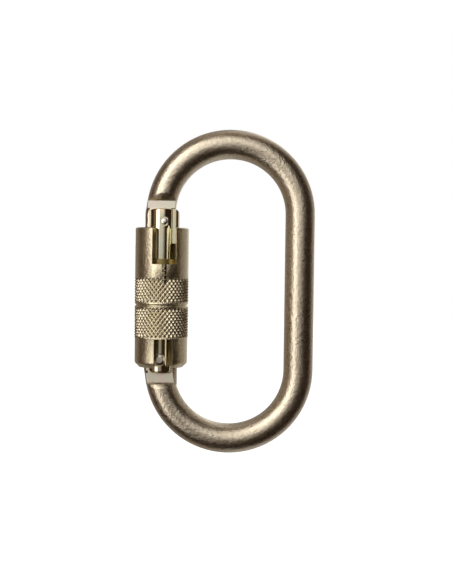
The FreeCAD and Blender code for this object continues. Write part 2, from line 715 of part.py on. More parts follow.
def make_spring_collar():
    return turned([
        (GATE_R, COLLAR_Z, 0),
        (COLLAR_R, COLLAR_Z, 0),
        (COLLAR_R, COLLAR_Z + COLLAR_T, COLLAR_EDGE),
        (GATE_R, COLLAR_Z + COLLAR_T, 0),
    ])


def make_sleeve_stop_pin():
    return radial_cylinder(STOP_PIN_R, STOP_PIN_INNER_R, STOP_PIN_OUTER_R, STOP_PIN_DEG, STOP_PIN_Z)


def make_thrust_washer():
    return upright(WASHER_R, WASHER_Z, FLANGE_BOTTOM_Z).cut(upright(GATE_R, WASHER_Z, FLANGE_BOTTOM_Z))


def make_snap_ring():
    ring = upright(SNAP_RING_R, SNAP_RING_Z, WASHER_Z).cut(upright(SNAP_RING_INNER_R, SNAP_RING_Z, WASHER_Z))
    half = SNAP_RING_OPENING_DEG / 2
    return ring.cut(sector(SNAP_RING_R + OVERRUN, SNAP_RING_Z, WASHER_Z, -half, half))


PIECES = {
    "frame": make_frame,
    "gate_barrel": make_gate_barrel,
    "latch_rivet": make_latch_rivet,
    "hinge_rivet": make_hinge_rivet,
    "gate_plunger": make_gate_plunger,
    "gate_return_spring": make_gate_return_spring,
    "locking_sleeve": make_locking_sleeve,
    "sleeve_torsion_spring": make_sleeve_torsion_spring,
    "spring_collar": make_spring_collar,
    "sleeve_stop_pin": make_sleeve_stop_pin,
    "thrust_washer": make_thrust_washer,
    "snap_ring": make_snap_ring,
}

os.makedirs("parts", exist_ok=True)
for name, make in PIECES.items():
    piece = make()
    print(name, "solids", len(piece.Solids), "valid", piece.isValid(), "volume", round(piece.Volume, 1))
    piece.exportStep("parts/" + name + ".step")
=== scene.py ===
import json
import math

import bmesh
import bpy
from mathutils import Matrix, Vector


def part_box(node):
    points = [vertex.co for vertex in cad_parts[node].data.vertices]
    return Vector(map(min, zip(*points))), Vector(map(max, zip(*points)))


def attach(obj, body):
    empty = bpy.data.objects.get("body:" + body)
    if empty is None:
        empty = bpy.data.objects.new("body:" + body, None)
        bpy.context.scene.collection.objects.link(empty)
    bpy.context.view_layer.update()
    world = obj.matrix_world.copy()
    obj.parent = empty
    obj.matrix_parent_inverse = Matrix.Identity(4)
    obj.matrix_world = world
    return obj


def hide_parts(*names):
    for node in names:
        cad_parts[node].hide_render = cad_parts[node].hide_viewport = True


# Looks for a steel oval carabiner with a knurled locking sleeve. Sizes here are in millimetres and
# are turned into metres where a mesh is made. The front looks along -Y and +Z is up.

MM = 0.001

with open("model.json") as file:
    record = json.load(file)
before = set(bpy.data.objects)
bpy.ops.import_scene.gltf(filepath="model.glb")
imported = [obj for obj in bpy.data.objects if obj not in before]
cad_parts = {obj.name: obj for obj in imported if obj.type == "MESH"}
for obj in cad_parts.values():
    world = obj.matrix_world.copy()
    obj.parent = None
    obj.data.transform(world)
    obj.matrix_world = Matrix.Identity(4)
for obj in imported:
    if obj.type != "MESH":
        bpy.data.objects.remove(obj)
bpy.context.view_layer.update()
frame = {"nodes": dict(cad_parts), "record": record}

JOINTS = {joint["name"]: joint for joint in frame["record"]["behaviour"]["joints"]}
GATE_AXIS_X = JOINTS["sleeve_twist"]["pos_m"][0] / MM


def node_box(node):
    low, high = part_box(node)
    return low / MM, high / MM


SLEEVE_LOW, SLEEVE_HIGH = node_box("locking_sleeve")
FRAME_LOW = node_box("frame")[0]
COLLAR_LOW = node_box("spring_collar")[0]
BARREL_LOW, BARREL_HIGH = node_box("gate_barrel")

# Sleeve, outside
KNURL_R = (SLEEVE_HIGH.x - SLEEVE_LOW.x) / 2
KNURL_RISE = 0.1
SLEEVE_R = KNURL_R - KNURL_RISE
SKIRT_R = KNURL_R - 0.2
SLEEVE_TOP_Z = SLEEVE_HIGH.z
SLEEVE_BOTTOM_Z = SLEEVE_LOW.z
KNURL_TOP_Z = 4.6
GROOVE_Z = -4.75
GROOVE_HALF_W = 0.5
GROOVE_LAND = 0.2
GROOVE_FLOOR_R = KNURL_R - 0.55
KNURL_BOTTOM_Z = -16.0
BAND_SEAT_R = KNURL_R - 0.65
BAND_SINK = 0.3
SLEEVE_TOP_EDGE_R = 0.6
SLEEVE_MOUTH_R = 0.3
SKIRT_STEP_H = 0.2
SKIRT_CHAMFER_H = 1.5
SKIRT_CHAMFER_W = 1.5
SKIRT_CHAMFER_R = 1.2
SKIRT_EDGE_R = 0.1
SKIRT_MOUTH_R = 0.05

# Sleeve, inside
BORE_R = 6.1
FLANGE_TOP_Z = -4.0
FLANGE_BOTTOM_Z = -6.5
FLANGE_R = 4.52
SKIRT_BORE_R = 7.1

# Windows of the sleeve
WINDOW_TURN = math.radians(9.0)
UPPER_WINDOW_HALF_W = 4.1
UPPER_WINDOW_Z = COLLAR_LOW.z
LOWER_WINDOW_HALF_W = 3.2
WINDOW_CORNER_R = 0.45
LEG_SLOT_HALF_W = 0.875
LEG_SLOT_Z = 3.3
EAR_EDGE_Y = -1.6
CUTAWAY_X = -1.3
CUTAWAY_Z = 15.5

# Knurl
DIAMONDS_ROUND = 40
DIAMOND_H = 1.86
DIAMOND_DEPTH = 0.55
SAMPLES_A_DIAMOND = 10
RUN_OUT = 0.7
CREST_SHARPNESS = 2.1
KNURL_SMOOTH_ANGLE = math.radians(50)

# Torsion spring
TORSION_WIRE_R = 0.45
TORSION_COIL_R = 5.26
TORSION_PITCH = 1.6
TORSION_TURNS = 7
TORSION_TOP_Z = UPPER_WINDOW_Z - TORSION_WIRE_R - 0.05
TORSION_BEND_R = 0.95
TORSION_OUTER_LEG_R = 8.4
TORSION_INNER_LEG_R = 3.1
LEG_HOLE_R = 0.8

# Gate barrel
GATE_R = GATE_AXIS_X - BARREL_LOW.x
GATE_TOP_EDGE_R = 0.6
GATE_BOTTOM_EDGE_R = 1.0
WEB_OUT = BARREL_HIGH.x - GATE_AXIS_X
WEB_HALF_W = 2.6
WEB_CORNER_R = 1.2
WEB_TOP_R = 1.6
WEB_TOP_Z = 27.9
WEB_FOOT_Z = 16.2
WEB_FOOT_H = 2.0
WEB_FOOT_SINK = 0.5
WEB_FOOT_R = 0.8
SLOT_HALF_W = 2.1
TONGUE_ROOM_X = GATE_R + 0.15
TOP_SLOT_Z = 17.2
BOTTOM_SLOT_Z = -17.2
PLUNGER_BORE_R = 2.05
PLUNGER_BORE_TOP_Z = -4.4
LATCH_PLACE = (0.9, 23.6)
LATCH_R = 1.2
LATCH_RECESS_R = 1.6
LATCH_RECESS_DEPTH = 0.55
HINGE_PLACE = (-0.25, -23.3)
HINGE_R = 1.5
HINGE_RECESS_R = 2.1
HINGE_RECESS_DEPTH = 0.75
STOP_PIN_R = 0.8
STOP_PIN_Z = -5.5
STOP_PIN_INNER_R = 2.7
RING_GROOVE_R = 3.9
RING_GROOVE_Z = (-8.3, -7.3)

# Forged flats of the bar
FLAT_HALF_T = 2.0
FLAT_ALLOWANCE = 0.02
FLATS_END_X = -15
FLAT_FACING = 0.98

# Meshes
LATHE_STEPS = 256
ARC_STEP = math.radians(7.5)
THROUGH = 40.0
OVERCUT = 1
EDGE_BEVEL = 0.1
SMOOTH_ANGLE = math.radians(32)
BEVEL_ANGLE = math.radians(38)

# Camera and studio
CAMERA_DISTANCE = 340.0
CAMERA_LENS = 61.2
CAMERA_RISE = math.radians(1.4)
CAMERA_ROLL = math.radians(0.76)
CAMERA_TARGET = (-1.28, 0.0, -0.09)
FLOOR_DROP = 105.0


class Level:
    """A number that changes over a surface. Arithmetic on it adds Math nodes to its tree."""

    def __init__(self, tree, socket):
        self.tree = tree
        self.socket = socket

    def math(self, operation, *others, clamp=False):
        node = self.tree.nodes.new("ShaderNodeMath")
        node.operation = operation
        node.use_clamp = clamp
        for slot, value in zip(node.inputs, (self, *others)):
            put(self.tree, slot, value)
        return Level(self.tree, node.outputs[0])

    def __add__(self, other):
        return self.math("ADD", other)

    def __radd__(self, other):
        return self.math("ADD", other)

    def __sub__(self, other):
        return self.math("SUBTRACT", other)

    def __rsub__(self, other):
        return (self * -1).math("ADD", other)

    def __mul__(self, other):
        return self.math("MULTIPLY", other)

    def __rmul__(self, other):
        return self.math("MULTIPLY", other)

    def __truediv__(self, other):
        return self.math("DIVIDE", other)

    def ramp(self, low, high):
        """0 below low, 1 above high, and an even rise between them."""
        return ((self - low) * (1 / (high - low))).math("ADD", 0, clamp=True)

    def band(self, low, high, soft):
        """1 between low and high, falling to 0 over the soft edge on both sides."""
        return self.ramp(low - soft, low + soft) * (1 - self.ramp(high - soft, high + soft))


def put(tree, slot, value):
    """Gives an input its value: a link from another node, or a constant."""
    if isinstance(value, Level):
        tree.links.new(value.socket, slot)
    elif isinstance(value, bpy.types.NodeSocket):
        tree.links.new(value, slot)
    else:
        slot.default_value = value


def add_node(tree, kind, settings=None, values=None):
    node = tree.nodes.new(kind)
    for name, value in (settings or {}).items():
        setattr(node, name, value)
    for name, value in (values or {}).items():
        put(tree, node.inputs[name], value)
    return node


class Finish:
    """A material on Object coordinates, built around one Principled shader."""

    def __init__(self, name, metallic, roughness):
        self.material = bpy.data.materials.new(name)
        self.material.use_nodes = True
        self.tree = self.material.node_tree
        self.shader = self.tree.nodes["Principled BSDF"]
        self.shader.inputs["Metallic"].default_value = metallic
        self.shader.inputs["Roughness"].default_value = roughness
        self.place = self.node("ShaderNodeTexCoord").outputs["Object"]

    def node(self, kind, settings=None, values=None):
        return add_node(self.tree, kind, settings, values)

    def stretched(self, scale):
        return self.node("ShaderNodeMapping", None, {"Vector": self.place, "Scale": scale}).outputs[0]

    def noise(self, size_mm, detail=2.0, stretch=(1.0, 1.0, 1.0)):
        place = self.stretched(stretch)
        values = {"Vector": place, "Scale": 1 / (size_mm * MM), "Detail": detail}
        return Level(self.tree, self.node("ShaderNodeTexNoise", None, values).outputs[0])

    def mixed(self, factor, first, second):
        node = self.node("ShaderNodeMix", {"data_type": "RGBA"})
        put(self.tree, node.inputs[0], factor)
        put(self.tree, node.inputs[6], first)
        put(self.tree, node.inputs[7], second)
        return node.outputs[2]

    def colour(self, value):
        put(self.tree, self.shader.inputs["Base Color"], value)

    def roughness(self, value):
        put(self.tree, self.shader.inputs["Roughness"], value)

    def relief(self, height, depth_mm, strength=1.0):
        values = {"Height": height, "Distance": depth_mm * MM, "Strength": strength}
        bump = self.node("ShaderNodeBump", None, values)
        self.tree.links.new(bump.outputs[0], self.shader.inputs["Normal"])


def rgb(red, green, blue):
    return (red, green, blue, 1.0)


def blasted_zinc(name, dark, light, roughness, grain_mm, depth_mm):
    """Yellow zinc over a blasted steel surface: matte, with a fine sparkling grain."""
    finish = Finish(name, 1.0, roughness)
    grain = finish.noise(grain_mm, 3.0)
    lumps = finish.noise(grain_mm * 2.3, 2.0)
    cloud = finish.noise(9.0, 3.0)
    tone = grain.ramp(0.32, 0.68) * 0.45 + lumps.ramp(0.32, 0.68) * 0.30 + cloud * 0.25
    finish.colour(finish.mixed(tone.math("ADD", 0, clamp=True), dark, light))
    finish.roughness(grain * 0.20 + cloud * 0.10 + (roughness - 0.15))
    finish.relief(grain + lumps * 1.3, depth_mm)
    return finish.material


def bar_zinc():
    return blasted_zinc("bar_zinc", rgb(0.56, 0.47, 0.35), rgb(0.98, 0.91, 0.78), 0.31, 0.50, 0.095)


def sleeve_zinc():
    return blasted_zinc("sleeve_zinc", rgb(0.60, 0.52, 0.36), rgb(0.96, 0.89, 0.70), 0.33, 0.42, 0.085)


def flat_zinc():
    """Bright zinc on the forged flats, with a faint pink and green bloom."""
    finish = Finish("flat_zinc", 1.0, 0.42)
    bloom = finish.noise(3.2, 2.0).ramp(0.36, 0.64)
    colour = finish.mixed(bloom, rgb(1.0, 0.91, 0.86), rgb(0.93, 0.97, 0.84))
    grain = finish.noise(0.5, 2.0)
    finish.colour(finish.mixed(grain.ramp(0.3, 0.7) * 0.35, colour, rgb(0.80, 0.74, 0.58)))
    finish.roughness(grain * 0.16 + 0.34)
    finish.relief(grain, 0.030)
    return finish.material


def barrel_zinc():
    """Glossy yellow zinc on a turned barrel, with fine marks round it from the lathe."""
    finish = Finish("barrel_zinc", 1.0, 0.10)
    bloom = finish.noise(5.0, 2.0)
    marks = finish.noise(0.5, 2.0, (0.12, 0.12, 1.0))
    colour = finish.mixed(bloom.ramp(0.35, 0.65), rgb(0.90, 0.79, 0.56), rgb(0.84, 0.86, 0.70))
    finish.colour(colour)
    finish.roughness(marks * 0.08 + finish.noise(1.2) * 0.06 + 0.03)
    finish.relief(marks + finish.noise(1.6) * 0.8, 0.006)
    return finish.material


def rivet_steel():
    finish = Finish("rivet_steel", 1.0, 0.26)
    wear = finish.noise(0.9, 3.0)
    finish.colour(finish.mixed(wear, rgb(0.74, 0.69, 0.60), rgb(0.90, 0.88, 0.83)))
    finish.roughness(wear * 0.20 + 0.16)
    finish.relief(wear, 0.02)
    return finish.material


# The collar's zinc is darkened to olive brown: painted shade, for the shade it sits in at the bottom of the
# sleeve's window.
def collar_zinc():
    finish = Finish("collar_zinc", 1.0, 0.40)
    grain = finish.noise(0.6, 3.0)
    finish.colour(finish.mixed(grain, rgb(0.20, 0.15, 0.05), rgb(0.46, 0.37, 0.15)))
    finish.roughness(grain * 0.20 + 0.30)
    finish.relief(grain, 0.015)
    return finish.material


# Spring steel with its colour darkened: painted shade, for the shade inside the sleeve's narrow slot.
def spring_steel():
    finish = Finish("spring_steel", 1.0, 0.22)
    draw = finish.noise(0.7, 2.0)
    finish.colour(finish.mixed(draw, rgb(0.30, 0.27, 0.22), rgb(0.55, 0.51, 0.44)))
    finish.roughness(draw * 0.15 + 0.15)
    finish.relief(draw, 0.006)
    return finish.material


def make_object(name, mesh, material):
    piece = bpy.data.objects.new(name, mesh)
    bpy.context.scene.collection.objects.link(piece)
    if material is not None:
        mesh.materials.clear()
        mesh.materials.append(material)
    return piece


def finished(work, name, material, smooth_angle=SMOOTH_ANGLE):
    """A plain mesh object from a bmesh, with soft shading between its sharp edges."""
    mesh = bpy.data.meshes.new(name)
    work.to_mesh(mesh)
    work.free()
    piece = make_object(name, mesh, material)
    soften(mesh, smooth_angle)
    return piece


def soften(mesh, angle):
    for polygon in mesh.polygons:
        polygon.use_smooth = True
    mesh.set_sharp_from_angle(angle=angle)


def rounded_outline(corners):
    """Points of a closed outline, each corner (a, b, radius) rounded by an arc."""
    points = []
    count = len(corners)
    for i, (a, b, radius) in enumerate(corners):
        here = Vector((a, b))
        if radius == 0:
            points.append(here)
            continue
        back = (Vector(corners[i - 1][:2]) - here).normalized()
        on = (Vector(corners[(i + 1) % count][:2]) - here).normalized()
        half_angle = back.angle(on) / 2
        centre = here + (back + on).normalized() * (radius / math.sin(half_angle))
        first = here + back * (radius / math.tan(half_angle)) - centre
        turn = math.pi - 2 * half_angle
        if back.cross(on) > 0:
            turn = -turn
        steps = max(2, round(abs(turn) / ARC_STEP))
        for step in range(steps + 1):
            points.append(centre + Matrix.Rotation(turn * step / steps, 2) @ first)
    return points


def lathe(corners):
    """A turned shape about the gate's centre line, from an outline of (radius, z, corner radius)."""
    outline = rounded_outline(corners)
    work = bmesh.new()
    rings = []
    for step in range(LATHE_STEPS):
        angle = 2 * math.pi * step / LATHE_STEPS
        ring = []
        for r, z in outline:
            place = (GATE_AXIS_X + r * math.cos(angle), r * math.sin(angle), z)
            ring.append(work.verts.new(Vector(place) * MM))
        rings.append(ring)
    for step, ring in enumerate(rings):
        following = rings[(step + 1) % LATHE_STEPS]
        for i in range(len(outline)):
            j = (i + 1) % len(outline)
            if outline[i][0] > 0 or outline[j][0] > 0:
                work.faces.new((ring[i], ring[j], following[j], following[i]))
    bmesh.ops.remove_doubles(work, verts=work.verts, dist=1e-8)
    bmesh.ops.recalc_face_normals(work, faces=work.faces)
    return work


def front_prism(corners, y_low, y_high, turn=0.0):
    """A straight block whose outline lies in XZ, counted across from the gate's centre line."""
    spin = Matrix.Rotation(turn, 3, "Z")
    return prism(corners, (y_low, y_high), lambda a, b, depth: spin @ Vector((a, depth, b)))


def upright_prism(corners, z_low, z_high):
    """A straight block whose outline lies in XY, counted from the gate's centre line."""
    return prism(corners, (z_low, z_high), lambda a, b, depth: Vector((a, b, depth)))


def prism(corners, depths, place):
    work = bmesh.new()
    outline = rounded_outline(corners)
    ends = []
    for depth in depths:
        ring = []
        for a, b in outline:
            ring.append(work.verts.new((place(a, b, depth) + Vector((GATE_AXIS_X, 0, 0))) * MM))
        ends.append(ring)
    work.faces.new(ends[0])
    work.faces.new(reversed(ends[1]))
    for i in range(len(outline)):
        j = (i + 1) % len(outline)
        work.faces.new((ends[0][j], ends[0][i], ends[1][i], ends[1][j]))
    bmesh.ops.recalc_face_normals(work, faces=work.faces)
    return work


def round_bar(start, end, radius, sides=96):
    """A straight round bar between two places, counted from the gate's centre line."""
    along = Vector(end) - Vector(start)
    middle = Vector(start) + along / 2 + Vector((GATE_AXIS_X, 0, 0))
    turn = along.to_track_quat("Z", "Y").to_matrix().to_4x4()
    work = bmesh.new()
    bmesh.ops.create_cone(work, cap_ends=True, segments=sides, radius1=radius * MM, radius2=radius * MM,
                          depth=along.length * MM, matrix=Matrix.Translation(middle * MM) @ turn)
    return work


def applied(piece):
    """Turns a piece's modifiers into plain mesh."""
    graph = bpy.context.evaluated_depsgraph_get()
    mesh = bpy.data.meshes.new_from_object(piece.evaluated_get(graph))
    old = piece.data
    piece.modifiers.clear()
    piece.data = mesh
    bpy.data.meshes.remove(old)
    mesh.name = piece.name
    return piece


def cut_away(piece, cutters, operation="DIFFERENCE"):
    """Takes the cutters out of a piece, or joins them to it, or keeps what they share."""
    tools = []
    for i, work in enumerate(cutters):
        tool = finished(work, piece.name + "_cutter" + str(i), None)
        tools.append(tool)
        modifier = piece.modifiers.new("cut" + str(i), "BOOLEAN")
        modifier.operation = operation
        modifier.solver = "EXACT"
        modifier.object = tool
    applied(piece)
    for tool in tools:
        bpy.data.meshes.remove(tool.data)
    return piece


def bevelled(piece, width_mm=EDGE_BEVEL, segments=2):
    """Takes the sharpness off the edges, as tumbling does."""
    modifier = piece.modifiers.new("edges", "BEVEL")
    modifier.width = width_mm * MM
    modifier.segments = segments
    modifier.limit_method = "ANGLE"
    modifier.angle_limit = BEVEL_ANGLE
    modifier.use_clamp_overlap = True
    applied(piece)
    soften(piece.data, SMOOTH_ANGLE)
    return piece


def dressed_copy(node, name, material, smooth_angle=SMOOTH_ANGLE):
    """A CAD node's shape as one joined mesh, shaded softly, with its new finish."""
    work = bmesh.new()
    work.from_mesh(frame["nodes"][node].data)
    bmesh.ops.remove_doubles(work, verts=work.verts, dist=1e-6)
    piece = finished(work, name, material, smooth_angle)
    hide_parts(node)
    return piece


def upper_window():
    h = UPPER_WINDOW_HALF_W
    corners = [(-h, UPPER_WINDOW_Z, WINDOW_CORNER_R), (h, UPPER_WINDOW_Z, WINDOW_CORNER_R)]
    corners += [(h, THROUGH, 0), (-h, THROUGH, 0)]
    return front_prism(corners, -THROUGH, 0, WINDOW_TURN)


def lower_window():
    h = LOWER_WINDOW_HALF_W
    corners = [(-h, -THROUGH, 0), (h, -THROUGH, 0)]
    corners += [(h, KNURL_BOTTOM_Z, WINDOW_CORNER_R), (-h, KNURL_BOTTOM_Z, WINDOW_CORNER_R)]
    return front_prism(corners, -THROUGH, THROUGH, WINDOW_TURN)


def leg_slot():
    h = LEG_SLOT_HALF_W
    top = UPPER_WINDOW_Z + OVERCUT
    corners = [(-h, top, 0), (-h, LEG_SLOT_Z, 0), (0, LEG_SLOT_Z - h, 0), (h, LEG_SLOT_Z, 0), (h, top, 0)]
    return front_prism(corners, -THROUGH, 0, WINDOW_TURN)


def back_cutaway():
    corners = [(-THROUGH, CUTAWAY_Z, 0), (CUTAWAY_X, CUTAWAY_Z, 0)]
    corners += [(CUTAWAY_X, THROUGH, 0), (-THROUGH, THROUGH, 0)]
    return front_prism(corners, EAR_EDGE_Y, THROUGH)


def make_sleeve(material):
    """The turned sleeve with its windows. The knurled bands are seated on it afterwards."""
    groove_top = GROOVE_Z + GROOVE_HALF_W
    groove_bottom = GROOVE_Z - GROOVE_HALF_W
    corners = [
        (BORE_R, SLEEVE_TOP_Z, SLEEVE_MOUTH_R),
        (SLEEVE_R, SLEEVE_TOP_Z, SLEEVE_TOP_EDGE_R),
        (SLEEVE_R, KNURL_TOP_Z, 0),
        (BAND_SEAT_R, KNURL_TOP_Z, 0),
        (BAND_SEAT_R, groove_top + GROOVE_LAND, 0),
        (SLEEVE_R, groove_top + GROOVE_LAND, 0),
        (SLEEVE_R, groove_top, 0),
        (GROOVE_FLOOR_R, GROOVE_Z, 0),
        (SLEEVE_R, groove_bottom, 0),
        (SLEEVE_R, groove_bottom - GROOVE_LAND, 0),
        (BAND_SEAT_R, groove_bottom - GROOVE_LAND, 0),
        (BAND_SEAT_R, KNURL_BOTTOM_Z, 0),
        (SLEEVE_R, KNURL_BOTTOM_Z, 0),
        (SKIRT_R, KNURL_BOTTOM_Z - SKIRT_STEP_H, 0),
        (SKIRT_R, SLEEVE_BOTTOM_Z + SKIRT_CHAMFER_H, SKIRT_CHAMFER_R),
        (SKIRT_R - SKIRT_CHAMFER_W, SLEEVE_BOTTOM_Z, SKIRT_EDGE_R),
        (SKIRT_BORE_R, SLEEVE_BOTTOM_Z, SKIRT_MOUTH_R),
        (SKIRT_BORE_R, FLANGE_BOTTOM_Z, 0),
        (FLANGE_R, FLANGE_BOTTOM_Z, 0),
        (FLANGE_R, FLANGE_TOP_Z, 0),
        (BORE_R, FLANGE_TOP_Z, 0),
    ]
    sleeve = finished(lathe(corners), "sleeve", material)
    cut_away(sleeve, [upper_window(), lower_window(), leg_slot(), back_cutaway()])
    bevelled(sleeve)
    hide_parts("locking_sleeve")
    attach(sleeve, "sleeve")
    return sleeve


def knurl_tree():
    """Geometry nodes that wrap a grid into a closed ring with raised diamonds on its outside."""
    tree = bpy.data.node_groups.new("knurled_band", "GeometryNodeTree")
    face = tree.interface
    face.new_socket("Geometry", in_out="INPUT", socket_type="NodeSocketGeometry")
    sizes = ("Outer Radius", "Plain Radius", "Seat Radius", "Depth", "Bottom", "Height")
    for name in sizes + ("Diamond Height", "Run Out", "Axis X"):
        face.new_socket(name, in_out="INPUT", socket_type="NodeSocketFloat")
    for name in ("Diamonds", "Columns", "Rows"):
        face.new_socket(name, in_out="INPUT", socket_type="NodeSocketInt")
    face.new_socket("Material", in_out="INPUT", socket_type="NodeSocketMaterial")
    face.new_socket("Geometry", in_out="OUTPUT", socket_type="NodeSocketGeometry")
    start = tree.nodes.new("NodeGroupInput").outputs

    def value(name):
        return Level(tree, start[name])

    rows = value("Rows")
    grid = add_node(tree, "GeometryNodeMeshGrid", None, {
        "Size X": 1.0,
        "Size Y": 1.0,
        "Vertices X": value("Columns") + 1,
        "Vertices Y": rows + 4,
    })
    position = tree.nodes.new("GeometryNodeInputPosition").outputs[0]
    place = add_node(tree, "ShaderNodeSeparateXYZ", None, {"Vector": position})
    around = Level(tree, place.outputs[0]) + 0.5
    row = ((Level(tree, place.outputs[1]) + 0.5) * (rows + 3)).math("ROUND")
    share = ((row - 1) / rows).math("ADD", 0, clamp=True)
    closing = row.math("GREATER_THAN", rows + 2.5)
    height = share * (1 - closing) * value("Height")
    inside = row.math("LESS_THAN", 0.5).math("MAXIMUM", row.math("GREATER_THAN", rows + 1.5))
    column = around * value("Diamonds")
    climb = height / value("Diamond Height")
    rising = (column + climb + 100).math("PINGPONG", 0.5)
    falling = (column - climb + 100).math("PINGPONG", 0.5)
    crest = (rising.math("MINIMUM", falling) * CREST_SHARPNESS).math("MINIMUM", 1.0)
    run_in = (share.math("MINIMUM", 1 - share) * value("Height") / value("Run Out")).math("MINIMUM", 1.0)
    knurled = value("Outer Radius") - (1 - crest) * value("Depth")
    outer = knurled * run_in + value("Plain Radius") * (1 - run_in)
    radius = outer * (1 - inside) + value("Seat Radius") * inside
    angle = around * (2 * math.pi)
    x = radius * angle.math("COSINE") + value("Axis X")
    y = radius * angle.math("SINE")
    wrapped = add_node(tree, "ShaderNodeCombineXYZ", None, {"X": x, "Y": y, "Z": value("Bottom") + height})
    moved = add_node(tree, "GeometryNodeSetPosition", None, {
        "Geometry": grid.outputs["Mesh"],
        "Position": wrapped.outputs[0],
    })
    joined = add_node(tree, "GeometryNodeMergeByDistance", None, {
        "Geometry": moved.outputs[0],
        "Distance": 1e-7,
    })
    real = add_node(tree, "GeometryNodeRealizeInstances", None, {"Geometry": joined.outputs[0]})
    coloured = add_node(tree, "GeometryNodeSetMaterial", None, {
        "Geometry": real.outputs[0],
        "Material": start["Material"],
    })
    tree.links.new(coloured.outputs[0], tree.nodes.new("NodeGroupOutput").inputs[0])
    return tree


def make_knurl(tree, name, bottom_z, top_z, material, cutters):
    """One knurled band, made by the tree and turned into a plain mesh."""
    height = top_z - bottom_z
    band = make_object(name, bpy.data.meshes.new(name), None)
    modifier = band.modifiers.new("knurl", "NODES")
    modifier.node_group = tree
    values = {
        "Outer Radius": KNURL_R * MM,
        "Plain Radius": SLEEVE_R * MM,
        "Seat Radius": (BAND_SEAT_R - BAND_SINK) * MM,
        "Depth": DIAMOND_DEPTH * MM,
        "Bottom": bottom_z * MM,
        "Height": height * MM,
        "Diamond Height": DIAMOND_H * MM,
        "Run Out": RUN_OUT * MM,
        "Axis X": GATE_AXIS_X * MM,
        "Diamonds": DIAMONDS_ROUND,
        "Columns": DIAMONDS_ROUND * SAMPLES_A_DIAMOND,
        "Rows": round(height / DIAMOND_H * SAMPLES_A_DIAMOND),
        "Material": material,
    }
    for item in tree.interface.items_tree:
        if item.in_out == "INPUT" and item.name in values:
            modifier[item.identifier] = values[item.name]
    applied(band)
    work = bmesh.new()
    work.from_mesh(band.data)
    bmesh.ops.recalc_face_normals(work, faces=work.faces)
    work.to_mesh(band.data)
    work.free()
    band.data.materials.clear()
    band.data.materials.append(material)
    if cutters:
        cut_away(band, cutters)
    soften(band.data, KNURL_SMOOTH_ANGLE)
    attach(band, "sleeve")
    return band


def tube(path, radius, name, material, sides=16):
    """A round wire along a path of places counted from the gate's centre line."""
    work = bmesh.new()
    rings = []
    for i, middle in enumerate(path):
        along = (path[min(i + 1, len(path) - 1)] - path[max(i - 1, 0)]).normalized()
        out = along.cross(Vector((0, 0, 1))).normalized()
        up = out.cross(along)
        ring = []
        for side in range(sides):
            turn = 2 * math.pi * side / sides
            place = middle + (out * math.cos(turn) + up * math.sin(turn)) * radius
            ring.append(work.verts.new((place + Vector((GATE_AXIS_X, 0, 0))) * MM))
        rings.append(ring)
    for first, second in zip(rings, rings[1:]):
        for side in range(sides):
            after = (side + 1) % sides
            work.faces.new((first[side], first[after], second[after], second[side]))
    work.faces.new(rings[0])
    work.faces.new(reversed(rings[-1]))
    bmesh.ops.recalc_face_normals(work, faces=work.faces)
    return finished(work, name, material)


def coil_place(turn):
    """A place on the torsion spring's coil, and the directions along and out there."""
    out = Vector((math.sin(turn), -math.cos(turn), 0))
    along = Vector((math.cos(turn), math.sin(turn), 0))
    z = TORSION_TOP_Z - TORSION_PITCH * (coil_end() - turn) / (2 * math.pi)
    return out * TORSION_COIL_R + Vector((0, 0, z)), along, out


def coil_end():
    """The turn at which the coil ends, so that its outer leg lies in its slot."""
    slot_middle_r = (BORE_R + TORSION_OUTER_LEG_R) / 2
    return WINDOW_TURN - math.asin(TORSION_BEND_R / slot_middle_r)


def spring_leg(turn, side, tip_r):
    """A quarter bend off the coil and the straight leg after it, outwards for side 1."""
    start, along, out = coil_place(turn)
    path = []
    for step in range(1, 9):
        angle = math.pi / 2 * step / 8
        path.append(start + (along * math.sin(angle) + out * (1 - math.cos(angle))) * side * TORSION_BEND_R)
    path.append(path[-1] + out * (tip_r - TORSION_COIL_R - side * TORSION_BEND_R))
    return path


def make_torsion_spring(material):
    """The sleeve's spring as a smooth coil, where the CAD coil is, with both its legs."""
    steps_a_turn = 48
    steps = steps_a_turn * TORSION_TURNS
    last = coil_end()
    first = last - 2 * math.pi * TORSION_TURNS
    coil = [coil_place(first + (last - first) * step / steps)[0] for step in range(steps + 1)]
    inner_leg = spring_leg(first, -1, TORSION_INNER_LEG_R)
    outer_leg = spring_leg(last, 1, TORSION_OUTER_LEG_R)
    path = list(reversed(inner_leg)) + coil + outer_leg
    spring = tube(path, TORSION_WIRE_R, "torsion_spring", material)
    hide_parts("sleeve_torsion_spring")
    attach(spring, "sleeve")
    return spring


def leg_hole():
    """The hole in the barrel for the spring's inner leg."""
    leg = spring_leg(coil_end() - 2 * math.pi * TORSION_TURNS, -1, TORSION_INNER_LEG_R)
    tip = leg[-1]
    outwards = (leg[-2] - tip).normalized()
    return round_bar(tip, tip + outwards * TORSION_COIL_R, LEG_HOLE_R)


def web_block():
    """The strip that closes the top slot on the inner side, with its slanted foot."""
    h = WEB_HALF_W
    web = finished(upright_prism([
        (0, -h, 0),
        (WEB_OUT, -h, WEB_CORNER_R),
        (WEB_OUT, h, WEB_CORNER_R),
        (0, h, 0),
    ], WEB_FOOT_Z, WEB_TOP_Z), "web", None)
    side_view = front_prism([
        (-OVERCUT, WEB_FOOT_Z - OVERCUT, 0),
        (GATE_R - WEB_FOOT_SINK, WEB_FOOT_Z - OVERCUT, 0),
        (WEB_OUT, WEB_FOOT_Z + WEB_FOOT_H, WEB_FOOT_R),
        (WEB_OUT, WEB_TOP_Z, WEB_TOP_R),
        (-OVERCUT, WEB_TOP_Z, 0),
    ], -THROUGH, THROUGH)
    cut_away(web, [side_view], "INTERSECT")
    work = bmesh.new()
    work.from_mesh(web.data)
    bpy.data.meshes.remove(web.data)
    return work


